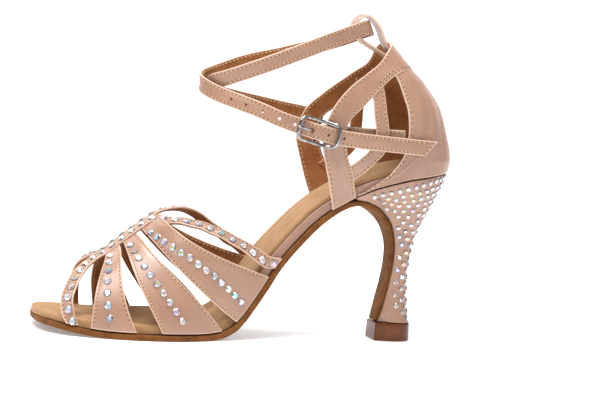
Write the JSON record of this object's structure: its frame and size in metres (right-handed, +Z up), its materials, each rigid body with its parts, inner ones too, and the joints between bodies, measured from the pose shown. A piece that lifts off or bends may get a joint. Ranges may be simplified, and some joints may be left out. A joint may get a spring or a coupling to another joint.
{
  "type": "dance shoe",
  "caption": "Open-toed ballroom dance sandal with fan straps over the forefoot, a closed heel counter, a buckled ankle strap and a flared heel.",
  "frame": {"origin": "middle of the heel tip's face on the floor", "axes": "+X towards the toe, +Y towards the outer side of the foot, +Z up"},
  "size_m": [0.2079, 0.0756, 0.1646],
  "materials": {
    "satin": "flesh satin with a soft sheen",
    "suede": "napped brown suede",
    "sock_suede": "fine tan suede",
    "tip_plastic": "dark brown moulded plastic",
    "nickel": "polished nickel plate"
  },
  "bodies": {
    "root": {"outsole": "suede", "insole_board": "satin", "sock": "sock_suede", "heel_block": "satin", "heel_tip": "tip_plastic", "vamp": "satin", "quarter": "satin", "ankle_strap": "satin", "buckle_tab": "satin", "buckle_frame": "nickel", "buckle_prong": "nickel", "back_loop": "satin"}
  },
  "joints": []
}
